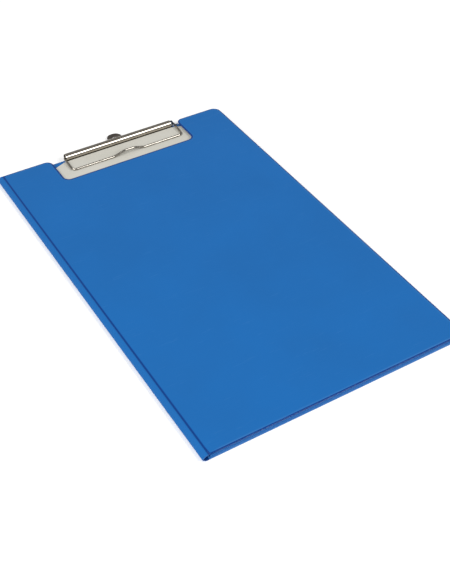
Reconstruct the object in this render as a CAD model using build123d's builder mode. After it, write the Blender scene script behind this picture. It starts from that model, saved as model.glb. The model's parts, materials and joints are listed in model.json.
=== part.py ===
from build123d import *
import math
import os

# A fold-over clipboard folder, closed and lying on its back.
# It is two stiff panels of grey board, each sealed between two sheets of blue PVC,
# joined by a soft spine that folds. A wire bow clip stands at the top of the back panel,
# and the front cover has a window cut for it.
#
# Frame: the back face lies on Z = 0, the spine is on the left (-X), the clip is at +Y.
# All lengths are in millimetres.

# The panels
panel_length = 350.0        # from the bottom edge to the top edge
panel_width = 215.0         # from the spine crease to the free edge
corner_radius = 7.0         # free corners of both panels
spine_reach = 5.0           # how far the folded spine stands out past the creases

# The layers, from the back face upwards
skin_thickness = 0.3        # each PVC sheet
back_board_thickness = 1.8  # grey board of the back panel
lining_thickness = 0.2      # light sheet on the inner face
closing_gap = 0.7           # air between the lining and the closed cover
pocket_thickness = 0.25     # pocket sheet inside the cover
cover_board_thickness = 1.6 # grey board of the front cover

# The welded edges
flange_width = 1.5          # where the two sheets are welded round a board
weld_depth = 0.12           # how far the weld presses the outer sheet in
board_bevel = 0.3           # broken edges of the boards
sheet_bend_radius = 0.7     # where a sheet is drawn over the edge of its board
crease_gap = 0.15           # from a crease line to the sheet on each side of it
fold_gap = 0.75             # from the fold line to the upper half of the spine

# The window in the cover, measured from the wire bow that stands in it
window_left_gap = 11.1
window_right_gap = 2.9
window_front_gap = 11.1
window_inner_radius = 5.5
window_outer_radius = 6.0

# The lining sheet
lining_side_margin = 5.0
lining_bottom_margin = 5.0
lining_top_margin = 8.2
lining_ramp = 8.0           # length over which it climbs onto the clip's base
lining_ramp_gap = 0.5       # from the top of that climb to the base plate
lining_bend_radius = 12.0

# The pocket
pocket_height = 236.0
pocket_margin = 0.4         # its weld lies this far inside the sheet's bend
thumb_cut_radius = 12.0

# The clip
clip_offset = 4.4           # centre of the clip from the centre of the panel
sheet_metal = 0.5           # nickel-plated strip that the base is pressed from
barrel_leg_gap = 0.2        # from the bow's left leg to the barrel's end
barrel_radius = 3.2         # outside of the rolled barrel
barrel_setback = 2.0        # barrel axis from the panel's top edge
barrel_slot_angle = 50.0    # open part of the roll, between its free edge and the base
base_depth = 22.5           # base plate, from its front edge to the barrel axis
base_corner_radius = 3.0
rivet_spacing = 68.0
rivet_setback = 12.0        # rivets from the barrel axis
rivet_shank_radius = 1.6
rivet_bore_radius = 1.1
rivet_head_radius = 3.1
rivet_head_height = 0.25
rivet_clearance = 0.1

# The wire bow
wire_radius = 1.0
bow_width = 110.4           # between the centre lines of the two legs, at the barrel
bow_right_draw = 1.0        # how far the right leg draws in towards the front
bow_reach = 19.4            # from the barrel axis to the front run
bow_rest_gap = 0.1          # between the front run and the lining
tail_bend_radius = 2.6
tail_end = 4.4              # how far each tail runs on past its bush
front_bend_radius = 3.5
lift_height = 3.0           # raised middle of the front run, for a fingertip
lift_top = 8.4
lift_ramp = 10.6
lift_bend_radius = 4.0
bush_length = 5.0
bush_bend_gap = 0.3         # from the left bush to the bend of the tail
bush_coil_gap = 0.4         # from the right bush to the spring
bush_bore_clearance = 0.05  # running clearance of the wire in its bushes
bush_fit_clearance = 0.02

# The torsion spring on the right tail
coil_turns = 5
coil_pitch = 1.6
coil_wire_radius = 0.5
coil_wire_sides = 8         # the fine wire is drawn eight-sided
coil_radius = 2.05          # of the centre line
coil_end_gap = 0.25         # between the last turn and the bow's leg
coil_showing = 1.85         # how far its centre line comes out of the barrel
coil_leg = 5.0              # straight leg towards the front
coil_hook = 3.6             # its tip, bent over the bow's leg
coil_hook_drop = 0.35
coil_hook_bend_radius = 1.0

# The sliding hanging hook
hook_thickness = 0.8
hook_width = 13.8
hook_overhang = 15.0        # past the panel's top edge
hook_corner_radius = 6.2
hook_hole_radius = 2.5
hook_hole_setback = 7.0     # hole centre from the hook's end
hook_tail_width = 17.0
hook_tail_length = 4.0
hook_tail_seat = 16.5       # from the panel's top edge to the tail's shoulder
hook_travel = 11.0
hook_side_clearance = 0.2
hook_face_clearance = 0.12

# Measuring
same_place = 0.01           # two corners nearer than this are one
points_per_turn = 48        # where the gap between the spring's turns is measured

# Places worked out from the sizes above
free_edge_x = (panel_width + spine_reach) / 2
crease_x = free_edge_x - panel_width
panel_centre_x = (crease_x + free_edge_x) / 2
top_y = panel_length / 2
bottom_y = -panel_length / 2

back_board_z = skin_thickness
back_board_top = back_board_z + back_board_thickness
back_top = back_board_top + skin_thickness
pocket_z = back_top + lining_thickness + closing_gap
cover_inner_z = pocket_z + pocket_thickness
cover_board_z = cover_inner_z + skin_thickness
cover_board_top = cover_board_z + cover_board_thickness
cover_top = cover_board_top + skin_thickness

board_inset = flange_width + skin_thickness
board_corner = corner_radius - board_inset

apex_x = crease_x - spine_reach + skin_thickness
lower_crease_z = skin_thickness
upper_crease_z = cover_top - skin_thickness
apex_z = (lower_crease_z + upper_crease_z) / 2
half_rise = apex_z - lower_crease_z
half_run = crease_x - apex_x
half_angle = math.degrees(math.atan2(half_rise, half_run))

clip_x = panel_centre_x + clip_offset
barrel_y = top_y - barrel_setback
barrel_z = back_top + barrel_radius
base_top = back_top + sheet_metal
bow_left_x = clip_x - bow_width / 2
bow_right_x = clip_x + bow_width / 2
coil_end_x = bow_right_x - wire_radius - coil_end_gap - coil_wire_radius
coil_start_x = coil_end_x - coil_turns * coil_pitch
barrel_left_x = bow_left_x + wire_radius + barrel_leg_gap
barrel_right_x = coil_end_x - coil_showing
barrel_length = barrel_right_x - barrel_left_x
left_bush_x = bow_left_x + tail_bend_radius + bush_bend_gap
right_bush_x = coil_start_x - coil_wire_radius - bush_coil_gap - bush_length
base_front_y = barrel_y - base_depth
lining_high_z = base_top + rivet_head_height
front_run_y = barrel_y - bow_reach
front_run_z = lining_high_z + lining_thickness + bow_rest_gap + wire_radius

window_left_x = bow_left_x - wire_radius - window_left_gap
window_right_x = bow_right_x + wire_radius + window_right_gap
window_floor_y = front_run_y - wire_radius - window_front_gap
window_width = window_right_x - window_left_x
window_centre_x = (window_left_x + window_right_x) / 2

hook_z = back_board_top - hook_face_clearance - hook_thickness
hook_slot_z = hook_z - hook_face_clearance


def panel_outline(inset, radius):
    """Rectangle of a panel, drawn in by inset, with its two free corners rounded."""
    with BuildSketch() as outline:
        with Locations((panel_centre_x, 0)):
            Rectangle(panel_width - 2 * inset, panel_length - 2 * inset)
        free_corners = outline.vertices().group_by(Axis.X)[-1]
        fillet(free_corners, radius)
    return outline.sketch


def cover_outline(inset, radius):
    """Outline of the front cover: a panel with the clip window cut from its top edge."""
    floor_y = window_floor_y - inset
    half_opening = window_width / 2 + inset
    with BuildSketch() as outline:
        add(panel_outline(inset, radius))
        with Locations((window_centre_x, floor_y)):
            Rectangle(2 * half_opening, panel_length, align=(Align.CENTER, Align.MIN), mode=Mode.SUBTRACT)
        window_corners = outline.vertices().filter_by(
            lambda v: abs(v.X - window_centre_x) < half_opening + same_place
        )
        floor_corners = window_corners.group_by(Axis.Y)[0]
        mouth_corners = window_corners.group_by(Axis.Y)[-1]
        fillet(floor_corners, window_inner_radius + inset)
        fillet(mouth_corners, window_outer_radius - inset)
    return outline.sketch


def hook_slot(clearance, reach):
    """Plan of the hook's guide: a narrow throat at the top edge and a wider room for the tail."""
    shoulder_y = top_y - hook_tail_seat
    room_length = hook_tail_length + hook_travel + hook_side_clearance
    with BuildSketch() as slot:
        with Locations((clip_x, shoulder_y)):
            Rectangle(hook_width + 2 * clearance, reach, align=(Align.CENTER, Align.MIN))
            Rectangle(hook_tail_width + 2 * clearance, room_length, align=(Align.CENTER, Align.MAX))
    return slot.sketch


rivet_places = [
    (clip_x - rivet_spacing / 2, barrel_y - rivet_setback),
    (clip_x + rivet_spacing / 2, barrel_y - rivet_setback),
]

# Back panel, outer sheet: flat against the table, pressed in along its welded edge
with BuildPart() as back_outer_skin:
    with BuildSketch():
        add(panel_outline(0, corner_radius))
    extrude(amount=skin_thickness)
    with BuildSketch():
        add(panel_outline(0, corner_radius))
        add(panel_outline(flange_width, corner_radius - flange_width), mode=Mode.SUBTRACT)
    extrude(amount=weld_depth, mode=Mode.SUBTRACT)
    with BuildSketch():
        with Locations((crease_x, 0)):
            Rectangle(crease_gap, panel_length, align=(Align.MIN, Align.CENTER))
        with Locations(*rivet_places):
            Circle(rivet_head_radius + rivet_clearance)
    extrude(amount=skin_thickness, mode=Mode.SUBTRACT)
back_outer_skin.part.label = "back_outer_skin"

# Back panel, grey board: the blank, then the guide milled in it for the hanging hook
with BuildPart() as board_blank:
    with BuildSketch(Plane.XY.offset(back_board_z)):
        add(panel_outline(board_inset, board_corner))
    extrude(amount=back_board_thickness)
    chamfer(board_blank.faces().sort_by(Axis.Z)[-1].edges(), board_bevel)

with BuildPart() as back_board:
    add(board_blank.part)
    with BuildSketch(Plane.XY.offset(hook_slot_z)):
        add(hook_slot(hook_side_clearance, hook_tail_seat))
    extrude(amount=back_board_thickness, mode=Mode.SUBTRACT)
    with BuildSketch(Plane.XY.offset(back_board_z)):
        with Locations(*rivet_places):
            Circle(rivet_shank_radius + rivet_clearance)
    extrude(amount=back_board_thickness, mode=Mode.SUBTRACT)
back_board.part.label = "back_board"

# Back panel, inner sheet: drawn over the board and down to the weld at its edge
with BuildPart() as back_inner_skin:
    with BuildSketch(Plane.XY.offset(skin_thickness)):
        add(panel_outline(flange_width, corner_radius - flange_width))
    extrude(amount=back_top - skin_thickness)
    fillet(back_inner_skin.faces().sort_by(Axis.Z)[-1].edges(), sheet_bend_radius)
    with BuildSketch(Plane.XY.offset(skin_thickness)):
        add(panel_outline(0, corner_radius))
    extrude(amount=skin_thickness)
    add(board_blank.part, mode=Mode.SUBTRACT)
    with BuildSketch(Plane.XY.offset(skin_thickness)):
        with Locations((crease_x, 0)):
            Rectangle(crease_gap, panel_length, align=(Align.MIN, Align.CENTER))
        with Locations(*rivet_places):
            Circle(rivet_shank_radius + rivet_clearance)
    extrude(amount=back_top, mode=Mode.SUBTRACT)
    with BuildSketch(Plane.XY.offset(hook_slot_z)):
        with Locations((clip_x, top_y - hook_tail_seat)):
            Rectangle(
                hook_width + 2 * hook_side_clearance,
                hook_tail_seat,
                align=(Align.CENTER, Align.MIN),
            )
    extrude(amount=back_board_top - hook_slot_z, mode=Mode.SUBTRACT)
back_inner_skin.part.label = "back_inner_skin"

# Light sheet on the inner face: flat over the panel, then up and over the clip's base
lining_top_y = top_y - lining_top_margin
lining_bottom_y = bottom_y + lining_bottom_margin
ramp_end_y = base_front_y - lining_ramp_gap
ramp_start_y = ramp_end_y - lining_ramp
with BuildPart() as lining_sheet:
    with BuildSketch(Plane.YZ.offset(crease_x + lining_side_margin)):
        with BuildLine():
            low_line = FilletPolyline(
                (lining_bottom_y, back_top),
                (ramp_start_y, back_top),
                (ramp_end_y, lining_high_z),
                (lining_top_y, lining_high_z),
                radius=lining_bend_radius,
            )
            high_line = FilletPolyline(
                (lining_bottom_y, back_top + lining_thickness),
                (ramp_start_y, back_top + lining_thickness),
                (ramp_end_y, lining_high_z + lining_thickness),
                (lining_top_y, lining_high_z + lining_thickness),
                radius=lining_bend_radius,
            )
            Line(low_line @ 0, high_line @ 0)
            Line(low_line @ 1, high_line @ 1)
        make_face()
    extrude(amount=panel_width - 2 * lining_side_margin)
lining_sheet.part.label = "lining_sheet"

# Clip base: a flat plate whose rear edge is rolled into a barrel
with BuildPart() as clip_base:
    with BuildSketch(Plane.XY.offset(back_top)) as base_plan:
        with Locations((barrel_left_x, barrel_y)):
            Rectangle(barrel_length, base_depth, align=(Align.MIN, Align.MAX))
        fillet(base_plan.vertices().group_by(Axis.Y)[0], base_corner_radius)
        with Locations(*rivet_places):
            Circle(rivet_shank_radius + rivet_clearance, mode=Mode.SUBTRACT)
    extrude(amount=sheet_metal)
    slot_reach = 2 * barrel_radius
    slot_end = math.radians(270 - barrel_slot_angle)
    with BuildSketch(Plane.YZ.offset(barrel_left_x)):
        with Locations((barrel_y, barrel_z)):
            Circle(barrel_radius)
            Circle(barrel_radius - sheet_metal, mode=Mode.SUBTRACT)
            with BuildLine():
                Polyline(
                    (0, 0),
                    (0, -slot_reach),
                    (-slot_reach, -slot_reach),
                    (slot_reach * math.cos(slot_end), slot_reach * math.sin(slot_end)),
                    close=True,
                )
            make_face(mode=Mode.SUBTRACT)
    extrude(amount=barrel_length)
clip_base.part.label = "clip_base"

# Two tubular rivets through the base and the panel, flush with the back face
with BuildPart() as clip_rivets:
    with BuildSketch():
        with Locations(*rivet_places):
            Circle(rivet_head_radius)
    extrude(amount=skin_thickness)
    with BuildSketch():
        with Locations(*rivet_places):
            Circle(rivet_shank_radius)
    extrude(amount=base_top)
    with BuildSketch(Plane.XY.offset(base_top)):
        with Locations(*rivet_places):
            Circle(rivet_head_radius)
    extrude(amount=rivet_head_height)
    with BuildSketch():
        with Locations(*rivet_places):
            Circle(rivet_bore_radius)
    extrude(amount=lining_high_z, mode=Mode.SUBTRACT)
clip_rivets.part.label = "clip_rivets"

# Two bushes pressed into the barrel, in which the tails of the bow turn
with BuildPart() as barrel_bushes:
    for bush_x in (left_bush_x, right_bush_x):
        with BuildSketch(Plane.YZ.offset(bush_x)):
            with Locations((barrel_y, barrel_z)):
                Circle(barrel_radius - sheet_metal - bush_fit_clearance)
                Circle(wire_radius + bush_bore_clearance, mode=Mode.SUBTRACT)
        extrude(amount=bush_length)
barrel_bushes.part.label = "barrel_bushes"

# The wire bow: one wire from the left bush, round the front and back to the right bush
lift_left_x = clip_x - lift_top / 2
lift_right_x = clip_x + lift_top / 2
lift_z = front_run_z + lift_height
with BuildPart() as wire_bow:
    with BuildLine() as bow_path:
        FilletPolyline(
            (left_bush_x + bush_length + tail_end, barrel_y, barrel_z),
            (bow_left_x, barrel_y, barrel_z),
            (bow_left_x, front_run_y, front_run_z),
            (lift_left_x - lift_ramp, front_run_y, front_run_z),
            (lift_left_x, front_run_y, lift_z),
            (lift_right_x, front_run_y, lift_z),
            (lift_right_x + lift_ramp, front_run_y, front_run_z),
            (bow_right_x - bow_right_draw, front_run_y, front_run_z),
            (bow_right_x, barrel_y, barrel_z),
            (right_bush_x - tail_end, barrel_y, barrel_z),
            radius=[
                tail_bend_radius,
                front_bend_radius,
                lift_bend_radius,
                lift_bend_radius,
                lift_bend_radius,
                lift_bend_radius,
                front_bend_radius,
                tail_bend_radius,
            ],
        )
    with BuildSketch(Plane(origin=bow_path.line @ 0, z_dir=bow_path.line % 0)):
        Circle(wire_radius)
    sweep()
wire_bow.part.label = "wire_bow"


def coil_place(turn):
    """Where the coil's centre line is after this many turns, and which way it runs there."""
    angle = 2 * math.pi * turn
    place = Vector(
        coil_start_x + coil_pitch * turn,
        barrel_y - coil_radius * math.sin(angle),
        barrel_z + coil_radius * math.cos(angle),
    )
    heading = Vector(
        coil_pitch / (2 * math.pi),
        -coil_radius * math.cos(angle),
        -coil_radius * math.sin(angle),
    )
    return place, heading.normalized()


def coil_half_turn(turn):
    """Half a turn of the coil as two arcs that run on into each other."""
    start, start_heading = coil_place(turn)
    end, end_heading = coil_place(turn + 0.5)
    chord = end - start
    headings = start_heading + end_heading
    bend = 4 - headings.dot(headings)
    along = chord.dot(headings)
    reach = (math.sqrt(along**2 + bend * chord.dot(chord)) - along) / bend
    first_corner = start + start_heading * reach
    second_corner = end - end_heading * reach
    middle = (first_corner + second_corner) / 2
    TangentArc(start, middle, tangent=start_heading)
    TangentArc(middle, end, tangent=second_corner - first_corner)


def coil_self_gap():
    """Least gap between one turn of the coil and the next, from points on its centre line."""
    steps = range(coil_turns * points_per_turn + 1)
    line = [coil_place(step / points_per_turn)[0] for step in steps]
    pairs = [(a, b) for a in steps for b in steps if b - a >= points_per_turn // 2]
    return min((line[a] - line[b]).length for a, b in pairs) - 2 * coil_wire_radius


# The torsion spring: its coil sits on the right tail, one leg presses on the bow
with BuildPart() as torsion_spring:
    with BuildLine():
        for half_turn in range(2 * coil_turns):
            coil_half_turn(half_turn / 2)
        coil_end, coil_heading = coil_place(coil_turns)
        leg_bend = coil_end + coil_heading * coil_leg
        leg_tip = leg_bend + Vector(coil_hook, 0, -coil_hook_drop)
        FilletPolyline(coil_end, leg_bend, leg_tip, radius=coil_hook_bend_radius)
    with BuildSketch(Plane(origin=coil_place(0)[0], z_dir=coil_place(0)[1])):
        RegularPolygon(coil_wire_radius, coil_wire_sides)
    sweep()
torsion_spring.part.label = "torsion_spring"

# The hanging hook: a flat strip that slides out of the top edge
hook_end_y = top_y + hook_overhang
hook_shoulder_y = top_y - hook_tail_seat
with BuildPart() as hanging_hook:
    with BuildSketch(Plane.XY.offset(hook_z)) as hook_plan:
        with Locations((clip_x, hook_end_y)):
            Rectangle(
                hook_width,
                hook_overhang + hook_tail_seat + hook_side_clearance,
                align=(Align.CENTER, Align.MAX),
            )
        fillet(hook_plan.vertices().group_by(Axis.Y)[-1], hook_corner_radius)
        with Locations((clip_x, hook_shoulder_y - hook_side_clearance)):
            Rectangle(hook_tail_width, hook_tail_length, align=(Align.CENTER, Align.MAX))
        with Locations((clip_x, hook_end_y - hook_hole_setback)):
            Circle(hook_hole_radius, mode=Mode.SUBTRACT)
    extrude(amount=hook_thickness)
hanging_hook.part.label = "hanging_hook"


def spine_half(start_x, start_z, end_x, end_z, start_trim, end_trim):
    """Cross-section of one half of the spine: both sheets welded into one flat strip."""
    run = end_x - start_x
    rise = end_z - start_z
    length = math.hypot(run, rise)
    middle = (start_x + run / 2, start_z + rise / 2)
    shift = (start_trim - end_trim) / 2
    turn = math.degrees(math.atan2(rise, run))
    with BuildSketch(Plane.XZ) as half:
        with Locations(Location((middle[0], middle[1]), turn)):
            with Locations((shift, 0)):
                Rectangle(length - start_trim - end_trim, 2 * skin_thickness)
    return half.sketch


# Spine, in two halves that meet at the fold; the lower one carries the rounded fold line
with BuildPart() as spine_lower:
    with BuildSketch(Plane.XZ.offset(-panel_length / 2)):
        add(spine_half(crease_x, lower_crease_z, apex_x, apex_z, crease_gap, 0))
        with Locations((apex_x, apex_z)):
            Circle(skin_thickness)
    extrude(amount=panel_length)
spine_lower.part.label = "spine_lower"

with BuildPart() as spine_upper:
    with BuildSketch(Plane.XZ.offset(-panel_length / 2)):
        add(spine_half(crease_x, upper_crease_z, apex_x, apex_z, crease_gap, fold_gap))
    extrude(amount=panel_length)
spine_upper.part.label = "spine_upper"

# Front cover, outer sheet: flat on top, pressed in along its welded edge and its window
with BuildPart() as cover_outer_skin:
    with BuildSketch(Plane.XY.offset(cover_board_top)):
        add(cover_outline(0, corner_radius))
    extrude(amount=skin_thickness)
    with BuildSketch(Plane.XY.offset(cover_top)):
        add(cover_outline(0, corner_radius))
        add(cover_outline(flange_width, corner_radius - flange_width), mode=Mode.SUBTRACT)
    extrude(amount=-weld_depth, mode=Mode.SUBTRACT)
    with BuildSketch(Plane.XY.offset(cover_board_top)):
        with Locations((crease_x, 0)):
            Rectangle(crease_gap, panel_length, align=(Align.MIN, Align.CENTER))
    extrude(amount=skin_thickness, mode=Mode.SUBTRACT)
cover_outer_skin.part.label = "cover_outer_skin"

# Front cover, grey board
with BuildPart() as cover_board:
    with BuildSketch(Plane.XY.offset(cover_board_z)):
        add(cover_outline(board_inset, board_corner))
    extrude(amount=cover_board_thickness)
    chamfer(cover_board.faces().sort_by(Axis.Z)[0].edges(), board_bevel)
cover_board.part.label = "cover_board"

# Front cover, inner sheet: drawn over the underside of the board and up to the weld
with BuildPart() as cover_inner_skin:
    with BuildSketch(Plane.XY.offset(cover_inner_z)):
        add(cover_outline(flange_width, corner_radius - flange_width))
    extrude(amount=cover_board_top - cover_inner_z)
    fillet(cover_inner_skin.faces().sort_by(Axis.Z)[0].edges(), sheet_bend_radius)
    with BuildSketch(Plane.XY.offset(cover_board_top)):
        add(cover_outline(0, corner_radius))
    extrude(amount=-skin_thickness)
    add(cover_board.part, mode=Mode.SUBTRACT)
    with BuildSketch(Plane.XY.offset(cover_inner_z)):
        with Locations((crease_x, 0)):
            Rectangle(crease_gap, panel_length, align=(Align.MIN, Align.CENTER))
    extrude(amount=cover_board_top - cover_inner_z, mode=Mode.SUBTRACT)
cover_inner_skin.part.label = "cover_inner_skin"

# Pocket inside the cover: one sheet welded on three sides, with a thumb cut in its mouth
pocket_inset = flange_width + sheet_bend_radius + pocket_margin
pocket_bottom_y = bottom_y + pocket_inset
with BuildPart() as cover_pocket:
    with BuildSketch(Plane.XY.offset(pocket_z)):
        with Locations((panel_centre_x, pocket_bottom_y)):
            Rectangle(panel_width - 2 * pocket_inset, pocket_height, align=(Align.CENTER, Align.MIN))
        with Locations((panel_centre_x, pocket_bottom_y + pocket_height)):
            Circle(thumb_cut_radius, mode=Mode.SUBTRACT)
    extrude(amount=pocket_thickness)
cover_pocket.part.label = "cover_pocket"

os.makedirs("parts", exist_ok=True)
for sub_part in (
    back_outer_skin,
    back_board,
    back_inner_skin,
    lining_sheet,
    clip_base,
    clip_rivets,
    barrel_bushes,
    wire_bow,
    torsion_spring,
    hanging_hook,
    spine_lower,
    spine_upper,
    cover_outer_skin,
    cover_board,
    cover_inner_skin,
    cover_pocket,
):
    export_step(sub_part.part, "parts/" + sub_part.part.label + ".step")

print("creases at x", crease_x, "z", lower_crease_z, "and", upper_crease_z)
print("fold line at x", apex_x, "z", apex_z, "half angle", half_angle)
print("bow axis at y", barrel_y, "z", barrel_z)
print("closed thickness", cover_top)
print("least gap between the spring's turns", round(coil_self_gap(), 3))
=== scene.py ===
# %% [markdown]
# # A fold-over clipboard folder in blue PVC
#
# The real object is two stiff panels of grey board, each sealed between two sheets of
# soft PVC. The sheets run on across a soft spine, so the folder opens like a book. A wire
# bow clip stands at the top of the back panel, and the cover has a window cut for it.
#
# The main sizes and places come from the CAD frame, and the two boards are the frame's own
# solids. This lesson makes what that frame leaves plain: sheets that are drawn over their
# boards and welded at the edge, a spine folded round like a C, a bow and a spring of round
# wire, broken edges on the clip's strip, and a finish for every surface.

# %% Load the frame
import json
import math

import bmesh
import bpy
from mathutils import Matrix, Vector
from mathutils.geometry import delaunay_2d_cdt


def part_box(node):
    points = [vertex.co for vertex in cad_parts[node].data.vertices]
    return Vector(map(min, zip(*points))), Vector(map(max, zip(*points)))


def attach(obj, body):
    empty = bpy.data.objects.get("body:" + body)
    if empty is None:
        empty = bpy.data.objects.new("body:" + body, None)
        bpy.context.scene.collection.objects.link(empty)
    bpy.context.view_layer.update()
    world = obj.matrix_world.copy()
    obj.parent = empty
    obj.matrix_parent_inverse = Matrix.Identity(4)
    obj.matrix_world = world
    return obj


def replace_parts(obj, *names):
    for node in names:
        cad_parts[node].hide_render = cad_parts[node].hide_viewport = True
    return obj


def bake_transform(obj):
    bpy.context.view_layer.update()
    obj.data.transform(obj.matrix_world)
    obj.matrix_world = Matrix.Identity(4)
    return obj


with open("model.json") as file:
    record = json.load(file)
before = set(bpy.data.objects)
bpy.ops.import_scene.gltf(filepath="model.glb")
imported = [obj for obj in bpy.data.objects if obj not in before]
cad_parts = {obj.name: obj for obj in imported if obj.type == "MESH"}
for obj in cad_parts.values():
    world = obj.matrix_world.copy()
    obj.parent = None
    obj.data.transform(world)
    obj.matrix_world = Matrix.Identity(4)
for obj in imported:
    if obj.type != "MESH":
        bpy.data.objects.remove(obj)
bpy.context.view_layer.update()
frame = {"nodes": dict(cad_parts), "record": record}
nodes = frame["nodes"]
scene = bpy.context.scene
MM = 0.001

# %% [markdown]
# ## Where things are
#
# The later cells take their pieces' places from the frame's own boxes, so a sheet always
# lies on the board that carries it. What a box can't tell is written down as a named value:
# the thickness of a sheet, the radius of a corner, or a small gap.

# %% Read the main places from the frame
back_low, back_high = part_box("back_outer_skin")
cover_low, cover_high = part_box("cover_outer_skin")
bow_low, bow_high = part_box("wire_bow")
base_low, base_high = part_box("clip_base")

SHEET = 0.3 * MM             # thickness of one PVC sheet
CREASE_GAP = 0.15 * MM       # from a crease line to the sheet beside it
CORNER_RADIUS = 7 * MM
WINDOW_FLOOR_RADIUS = 5.5 * MM
WINDOW_MOUTH_RADIUS = 6 * MM
WINDOW_SIDE_GAP = 11.1 * MM  # from the wire bow to the window, left and front
WINDOW_RIGHT_GAP = 2.9 * MM

crease_x = cover_low.x - CREASE_GAP
free_x, top_y, bottom_y = cover_high.x, cover_high.y, cover_low.y
lower_crease_z = back_high.z
upper_crease_z = cover_low.z
window_left = bow_low.x - WINDOW_SIDE_GAP
window_right = bow_high.x + WINDOW_RIGHT_GAP
window_floor = bow_low.y - WINDOW_SIDE_GAP
print("panel", round((free_x - crease_x) / MM, 1), "by", round((top_y - bottom_y) / MM, 1), "mm")
print("window", round((window_right - window_left) / MM, 1), "mm wide")

# %% [markdown]
# ## Camera
#
# The photograph was taken with a short telephoto lens from the front left, looking down
# by about 42 degrees. The camera comes first, because all that follows is judged through
# it. A constraint that points it at the folder would do, but a camera looks along its own
# -Z axis, so a direction alone gives its rotation. A small sideways shift places the
# folder in the frame as it is there.

# %% Place the camera
IMAGE_WIDTH, IMAGE_HEIGHT = 450, 563
FOCAL_PIXELS = 1008.0        # focal length, in pixels of that image
SENSOR = 36.0
CAMERA_AZIMUTH, CAMERA_ELEVATION = -30.78, 42.22
CAMERA_PLACE = (-310.1 * MM, -524.2 * MM, 523.3 * MM)
OPTICAL_AXIS_X = 213.0       # column of the image that the lens points at


def toward(azimuth_degrees, elevation_degrees):
    """A direction: azimuth from the front (-Y) towards +X, and elevation."""
    turn, rise = math.radians(azimuth_degrees), math.radians(elevation_degrees)
    across = math.cos(rise)
    return Vector((math.sin(turn) * across, -math.cos(turn) * across, math.sin(rise)))


def linked(name, data):
    """A new object for a mesh, camera or lamp, linked to the scene."""
    made = bpy.data.objects.new(name, data)
    scene.collection.objects.link(made)
    return made


camera_back = toward(CAMERA_AZIMUTH, CAMERA_ELEVATION)
camera_data = bpy.data.cameras.new("camera")
camera_data.lens = FOCAL_PIXELS / IMAGE_HEIGHT * SENSOR
camera_data.sensor_width = SENSOR
camera_data.shift_x = (IMAGE_WIDTH / 2 - OPTICAL_AXIS_X) / IMAGE_HEIGHT
camera_data.clip_start, camera_data.clip_end = 0.01, 20
camera = linked("camera", camera_data)
camera.location = CAMERA_PLACE
camera.rotation_euler = camera_back.to_track_quat("Z", "Y").to_euler()
scene.camera = camera
print("lens", round(camera_data.lens, 1), "mm")

# %% [markdown]
# ## Shader node groups
#
# A shader group is a function made of nodes: named inputs, named outputs. An effect that
# several materials share could be copied into each, but it is built once here and gets its
# own values in each. The groups put out only masks and heights. The Principled BSDF stays
# in each material.

# %% Helpers for node trees
def link(tree, source, target):
    """Joins two sockets."""
    tree.links.new(source, target)


def node(tree, kind, **values):
    """Adds a node; a value goes to the input of that name, or to the node's own setting."""
    made = tree.nodes.new(kind)
    for key, value in values.items():
        name = key.replace("_", " ")
        if name in made.inputs:
            made.inputs[name].default_value = value
        else:
            setattr(made, key, value)
    return made


def shader_group(name, inputs, outputs):
    """An empty shader group with float sockets, and its input and output nodes."""
    group = bpy.data.node_groups.new(name, "ShaderNodeTree")
    for socket, value in inputs.items():
        made = group.interface.new_socket(socket, in_out="INPUT", socket_type="NodeSocketFloat")
        made.default_value = value
    for socket in outputs:
        group.interface.new_socket(socket, in_out="OUTPUT", socket_type="NodeSocketFloat")
    return group, group.nodes.new("NodeGroupInput"), group.nodes.new("NodeGroupOutput")


def math_node(tree, operation, *operands):
    """A Math node, fed by sockets or plain numbers."""
    made = node(tree, "ShaderNodeMath", operation=operation)
    for socket, value in zip(made.inputs, operands):
        if isinstance(value, (int, float)):
            socket.default_value = value
        else:
            link(tree, value, socket)
    return made.outputs[0]


def remap(tree, value, low, high, to_low=0.0, to_high=1.0):
    """Takes value from the range low to high to another one, and holds it there."""
    span = {"From_Min": low, "From_Max": high, "To_Min": to_low, "To_Max": to_high}
    made = node(tree, "ShaderNodeMapRange", **span)
    link(tree, value, made.inputs["Value"])
    return made.outputs["Result"]


# %% Helper for patterns
def pattern(tree, kind, turn=0.0, stretch=(1.0, 1.0, 1.0), **values):
    """A texture node in the object's own coordinates, turned about Z and squeezed."""
    made = node(tree, kind, **values)
    place = tree.nodes.new("ShaderNodeTexCoord").outputs["Object"]
    if turn or stretch != (1.0, 1.0, 1.0):
        turned = node(tree, "ShaderNodeMapping", Rotation=(0.0, 0.0, turn), Scale=stretch)
        link(tree, place, turned.inputs["Vector"])
        place = turned.outputs["Vector"]
    link(tree, place, made.inputs["Vector"])
    return made


# %% [markdown]
# The PVC is embossed by a roller with a fine pebble grain. The pebbles are far too small
# and too many to model, so they are a height for a bump: smooth round cells, and a finer
# noise that keeps them from looking drawn.

# %% Group: embossed grain
FINE_SHARE = 0.35            # height of the fine noise beside a pebble's


def grain_group():
    group, given, result = shader_group("embossed grain", {"Scale": 1500.0}, ["Height"])
    cells = pattern(group, "ShaderNodeTexVoronoi", feature="SMOOTH_F1", Smoothness=0.6)
    fine = pattern(group, "ShaderNodeTexNoise", Detail=2.0)
    for texture in (cells, fine):
        link(group, given.outputs["Scale"], texture.inputs["Scale"])
    pebbles = math_node(group, "SUBTRACT", 1.0, cells.outputs["Distance"])
    both = math_node(group, "MULTIPLY_ADD", fine.outputs["Fac"], FINE_SHARE, pebbles)
    link(group, both, result.inputs["Height"])
    return group


grain = grain_group()
print("group:", grain.name)

# %% [markdown]
# Handling leaves its mark in two ways: broad, faint patches where hands have polished or
# dulled a surface, and short hair scratches that cross each other. One noise makes the
# patches. Two more, squeezed across and turned, leave thin lines where they peak.

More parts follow.
